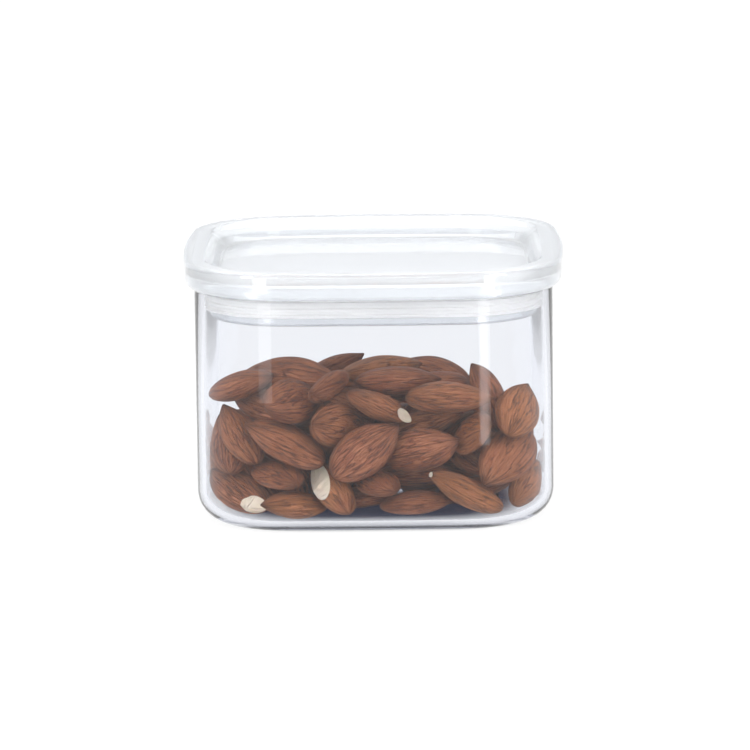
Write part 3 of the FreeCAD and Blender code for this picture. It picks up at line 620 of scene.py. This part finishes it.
def almond_pattern(settings):
    """A smooth drop, spun from its profile."""
    bm = bmesh.new()
    profile = [bm.verts.new((place, 0.0, reach)) for place, reach in almond_profile(settings)]
    edges = [bm.edges.new(pair) for pair in zip(profile, profile[1:])]
    full_turn = {"cent": (0, 0, 0), "axis": (1, 0, 0), "angle": 2 * math.pi, "steps": ROUND_STEPS}
    bmesh.ops.spin(bm, geom=profile + edges, use_merge=True, **full_turn)
    bmesh.ops.remove_doubles(bm, verts=bm.verts, dist=0.01 * MM)
    bmesh.ops.recalc_face_normals(bm, faces=bm.faces)
    mesh = bpy.data.meshes.new("almond_pattern")
    bm.to_mesh(mesh)
    bm.free()
    return mesh


def almond_places(node):
    """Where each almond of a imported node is: its middle, its axes from long to short, and its length."""
    bm = bmesh.new()
    bm.from_mesh(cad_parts[node].data)
    bmesh.ops.remove_doubles(bm, verts=bm.verts, dist=WELD)
    waiting = dict.fromkeys(bm.verts)
    places = []
    while waiting:
        start = next(iter(waiting))
        del waiting[start]
        reached, group = [start], []
        while reached:
            vertex = reached.pop()
            group.append(tuple(vertex.co))
            for edge in vertex.link_edges:
                other = edge.other_vert(vertex)
                if other in waiting:
                    del waiting[other]
                    reached.append(other)
        places.append(almond_pose(np.array(group)))
    bm.free()
    return places


def almond_pose(points):
    """The middle, axes and length of one almond, from the points of its surface."""
    axes = np.linalg.eigh(np.cov((points - points.mean(0)).T))[1].T[::-1]
    spans = points @ axes.T
    low, high = spans.min(0), spans.max(0)
    middle = (low + high) / 2
    along = spans[:, 0] - middle[0]
    reach = np.hypot(spans[:, 1] - middle[1], spans[:, 2] - middle[2])
    near_end = (high[0] - low[0]) * END_SHARE
    if reach[along > near_end].max() > reach[along < -near_end].max():
        axes[0] = -axes[0]
        middle[0] = -middle[0]
    centre = middle @ axes
    axes[2] = np.cross(axes[0], axes[1])
    return Vector(centre), [Vector(axis) for axis in axes], high[0] - low[0]


def shaped_almond(pattern, settings, chance):
    """One almond at the origin: the pattern, flattened, dented and wrinkled in its own way."""
    bm = bmesh.new()
    bm.from_mesh(pattern)
    layers = bm.verts.layers
    grain = layers.float_vector.new("grain")
    tone, along = (layers.float.new(name) for name in ("tone", "along"))
    flat = settings.nut_thickness / settings.nut_width
    seed = Vector([chance.uniform(-NOISE_REACH, NOISE_REACH) for _ in range(3)])
    shade = chance.random()
    plump, lean, ridge = (chance.uniform(*limits) for limits in (PLUMP, LEAN, RIDGE))
    for vertex in bm.verts:
        x, y, z = vertex.co
        reach = max(math.hypot(y, z), 1e-6)
        across, through = y / reach, z / reach
        spot = x / settings.nut_length
        vertex[grain] = Vector((spot * GRAIN_STRETCH, across, through)) + seed
        vertex[tone] = shade
        vertex[along] = spot + 0.5
        broad, crease = (
            noise.noise(Vector((spot * endways, across * around, through * around)) + seed)
            for endways, around in (HOLLOW_WAVES, WRINKLE_WAVES)
        )
        depth = settings.dents * (0.45 + 0.55 * broad) + settings.wrinkles * (0.5 + crease)
        depth *= min(1.0, reach / settings.calm_ends)
        taper = 1.0 - ridge * (2 * spot) ** 2
        inwards = Vector((0.0, across, through * 1.3)) * depth
        curved = y * taper + lean * MM * (0.25 - spot**2)
        vertex.co = Vector((x, curved, z * plump * taper)) - inwards
        vertex.co.z *= flat
    return bm


def slice_off(bm, facing, depth):
    """Takes a slice off the side of an almond that faces a direction, and leaves a rough kernel face."""
    facing = Vector(facing).normalized()
    level = max(vertex.co.dot(facing) for vertex in bm.verts) - depth * MM
    geometry = [*bm.verts, *bm.edges, *bm.faces]
    plane = {"plane_co": facing * level, "plane_no": facing}
    made = bmesh.ops.bisect_plane(bm, geom=geometry, clear_outer=True, **plane)
    border = [item for item in made["geom_cut"] if isinstance(item, bmesh.types.BMEdge)]
    skin = set(bm.faces)
    kernel = bmesh.ops.contextual_create(bm, geom=border)["faces"]
    bmesh.ops.inset_region(bm, faces=kernel, thickness=KERNEL_EDGE, depth=KERNEL_RISE)
    kernel = bmesh.ops.triangulate(bm, faces=kernel)["faces"]
    kernel_edges = {edge for face in kernel for edge in face.edges}
    inner = [edge for edge in bm.edges if edge in kernel_edges]
    rough = bmesh.ops.subdivide_edges(bm, edges=inner, cuts=2, use_grid_fill=True)["geom_inner"]
    for vertex in (item for item in rough if isinstance(item, bmesh.types.BMVert)):
        vertex.co -= facing * (KERNEL_ROUGHNESS * (1 + noise.noise(vertex.co * KERNEL_GRAIN)))
    for face in set(bm.faces) - skin:
        face.material_index = 1


def placed_almond(pattern, settings, chance, place, cut):
    """The mesh of one almond in its place in the jar, with a slice off it if it has a cut."""
    centre, axes, size = place
    almond = shaped_almond(pattern, settings, chance)
    turn = Matrix(axes).transposed().to_4x4()
    move = Matrix.Translation(centre) @ turn @ Matrix.Scale(size / settings.nut_length, 4)
    bmesh.ops.transform(almond, matrix=move, verts=almond.verts)
    if cut:
        slice_off(almond, *cut)
    mesh = bpy.data.meshes.new("almond")
    almond.to_mesh(mesh)
    almond.free()
    return mesh


def nearest_broken(places):
    """Which almond each entry of BROKEN means: its number among all almonds, and its slice."""
    found = {}
    for (across, up), *cut in BROKEN:
        front = [index for index, (centre, _, _) in enumerate(places) if centre.y < FRONT]
        target = Vector((across * MM, up * MM))
        best = min(front, key=lambda index: (Vector(places[index][0].xz) - target).length)
        found[best] = cut
    return found


# ---------------------------------------------------------------- stage

FLOOR_REACH = 5.0  # from the middle of the floor to its sides
AIM = (0.0, 0.0, 0.04)  # where the soft lights point
SOFTBOXES = {  # the place, size and share of power of each soft light
    "softbox_left": ((-0.75, -0.75, 0.55), (0.25, 0.8), 1.0),
    "softbox_right": ((0.75, -0.75, 0.55), (0.25, 0.8), 1.0),
    "softbox_top": ((0.0, 0.2, 1.3), (1.2, 1.2), 0.8),
    "softbox_front": ((-0.3, -1.6, 0.9), (1.2, 0.8), 1.0),
}
CARDS = {  # the place, aim, width and share of power of each card that draws a streak on the glass
    "card_left": ((-0.125, -0.225, 0.060), (-0.03, -0.04, 0.060), 0.060, 0.5),
    "card_right": ((0.083, -0.135, 0.060), (0.035, -0.045, 0.060), 0.024, 0.25),
}
CARD_HEIGHT = 0.120
CARD_WIDTHS = {"wide": 1.0, "narrow": 0.6}  # a wide and a narrow card together fade at their sides


def soft_light(name, place, aim, size, power):
    """A rectangular soft light that faces its aim."""
    light = bpy.data.lights.new(name, "AREA")
    light.shape = "RECTANGLE"
    light.size, light.size_y = size
    light.energy = power
    holder = bpy.data.objects.new(name, light)
    bpy.context.scene.collection.objects.link(holder)
    holder.location = place
    holder.rotation_euler = (Vector(aim) - Vector(place)).to_track_quat("-Z", "Y").to_euler()
    holder.visible_camera = False


def even_sky(settings):
    """An even white surround that dims a little towards the horizon, so that glass edges show."""
    world = bpy.data.worlds.new("studio")
    bpy.context.scene.world = world
    world.use_nodes = True
    nodes, links = world.node_tree.nodes, world.node_tree.links
    ramp = nodes.new("ShaderNodeValToRGB")
    horizon, above = ramp.color_ramp.elements
    horizon.position, horizon.color = 0.0, (*settings.horizon, 1.0)
    above.position, above.color = settings.horizon_height, (1.0, 1.0, 1.0, 1.0)
    split = nodes.new("ShaderNodeSeparateXYZ")
    links.new(nodes.new("ShaderNodeTexCoord").outputs["Generated"], split.inputs[0])
    links.new(split.outputs["Z"], ramp.inputs["Fac"])
    background = nodes["Background"]
    links.new(ramp.outputs["Color"], background.inputs["Color"])
    background.inputs["Strength"].default_value = settings.sky_strength


def floor_piece(settings):
    """A plain flat floor."""
    bm = bmesh.new()
    bmesh.ops.create_grid(bm, x_segments=8, y_segments=8, size=FLOOR_REACH)
    mesh = bpy.data.meshes.new("floor")
    bm.to_mesh(mesh)
    bm.free()
    mesh.materials.append(floor_paper_painted_shadow(settings))
    floor = bpy.data.objects.new("floor", mesh)
    bpy.context.scene.collection.objects.link(floor)


def camera_piece(settings):
    """The camera, a little above the table and nearly in front."""
    camera = bpy.data.cameras.new("camera")
    camera.lens = settings.camera_lens
    camera.sensor_width = 36.0
    holder = bpy.data.objects.new("camera", camera)
    bpy.context.scene.collection.objects.link(holder)
    aim = Vector((0.0, 0.0, settings.camera_aim))
    rise, turn = settings.camera_rise, settings.camera_turn
    away = Vector((-math.sin(turn) * math.cos(rise), -math.cos(turn) * math.cos(rise), math.sin(rise)))
    holder.location = aim + away * settings.camera_distance
    facing = (-away).to_track_quat("-Z", "Y").to_matrix().to_4x4()
    holder.rotation_euler = (facing @ Matrix.Rotation(settings.camera_roll, 4, "Z")).to_euler()
    bpy.context.scene.camera = holder


# ---------------------------------------------------------------- operators


class CANISTER_OT_jar(bpy.types.Operator):
    """Builds the glass jar"""

    bl_idname = "canister.jar"
    bl_label = "Glass jar"

    def execute(self, context):
        settings = context.scene.canister_jar
        finished_piece(jar_mesh(settings), "jar", [jar_glass(settings)], "jar", ["glass_jar"])
        return {"FINISHED"}


class CANISTER_OT_lid(bpy.types.Operator):
    """Builds the clear lid with its tray and plug"""

    bl_idname = "canister.lid"
    bl_label = "Tray lid"

    def execute(self, context):
        scene = context.scene
        bm = lid_mesh(scene.canister_lid, scene.canister_jar)
        finished_piece(bm, "tray_lid", [lid_plastic(scene.canister_lid)], "lid", ["lid"])
        return {"FINISHED"}


class CANISTER_OT_seal(bpy.types.Operator):
    """Builds the silicone seal with its fins"""

    bl_idname = "canister.seal"
    bl_label = "Silicone seal"

    def execute(self, context):
        scene = context.scene
        bm = seal_mesh(scene.canister_seal, scene.canister_jar)
        finish = seal_silicone(scene.canister_seal)
        finished_piece(bm, "seal", [finish], "lid", ["silicone_seal"])
        return {"FINISHED"}


class CANISTER_OT_almonds(bpy.types.Operator):
    """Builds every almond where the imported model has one"""

    bl_idname = "canister.almonds"
    bl_label = "Almonds"

    def execute(self, context):
        settings = context.scene.canister_almonds
        finishes = [almond_skin(settings), almond_kernel(settings)]
        pattern = almond_pattern(settings)
        places = {node: almond_places(node) for node in ALMOND_NODES}
        cuts = nearest_broken([place for layer in places.values() for place in layer])
        chance = random.Random(ALMOND_SEED)
        count = 0
        for node, layer in places.items():
            pile = bmesh.new()
            for place in layer:
                almond = placed_almond(pattern, settings, chance, place, cuts.get(count))
                pile.from_mesh(almond)
                bpy.data.meshes.remove(almond)
                count += 1
            name = node.replace("layer", "pile")
            finished_piece(pile, name, finishes, "jar", [node], sharp=0)
        bpy.data.meshes.remove(pattern)
        return {"FINISHED"}


class CANISTER_OT_stage(bpy.types.Operator):
    """Sets up the floor, the lights and the camera"""

    bl_idname = "canister.stage"
    bl_label = "Stage"

    def execute(self, context):
        settings = context.scene.canister_stage
        floor_piece(settings)
        camera_piece(settings)
        even_sky(settings)
        for name, (place, size, power) in SOFTBOXES.items():
            soft_light(name, place, AIM, size, power * settings.softbox_power)
        for kind, width in CARD_WIDTHS.items():
            for name, (place, aim, full_width, power) in CARDS.items():
                size = full_width * width, CARD_HEIGHT
                soft_light(f"{name}_{kind}", place, aim, size, power * width * settings.card_power)
        return {"FINISHED"}


class CANISTER_PT_panel(bpy.types.Panel):
    """Lists the pieces of the canister"""

    bl_idname = "CANISTER_PT_panel"
    bl_label = "Almond canister"
    bl_space_type = "VIEW_3D"
    bl_region_type = "UI"
    bl_category = "Canister"

    def draw(self, context):
        for operator in OPERATORS:
            self.layout.operator(operator.bl_idname)


SETTINGS = {
    "canister_jar": CanisterJarSettings,
    "canister_lid": CanisterLidSettings,
    "canister_seal": CanisterSealSettings,
    "canister_almonds": CanisterAlmondSettings,
    "canister_stage": CanisterStageSettings,
}
OPERATORS = [CANISTER_OT_jar, CANISTER_OT_lid, CANISTER_OT_seal, CANISTER_OT_almonds, CANISTER_OT_stage]


def register():
    for group in (*SETTINGS.values(), *OPERATORS, CANISTER_PT_panel):
        bpy.utils.register_class(group)
    for name, group in SETTINGS.items():
        setattr(bpy.types.Scene, name, bpy.props.PointerProperty(type=group))


def unregister():
    for name in SETTINGS:
        delattr(bpy.types.Scene, name)
    for group in (CANISTER_PT_panel, *OPERATORS, *SETTINGS.values()):
        bpy.utils.unregister_class(group)


def main():
    register()
    bpy.context.scene.view_settings.view_transform = "Standard"
    bpy.ops.canister.jar()
    bpy.ops.canister.lid()
    bpy.ops.canister.seal()
    bpy.ops.canister.almonds()
    bpy.ops.canister.stage()


if __name__ == "__main__":
    main()
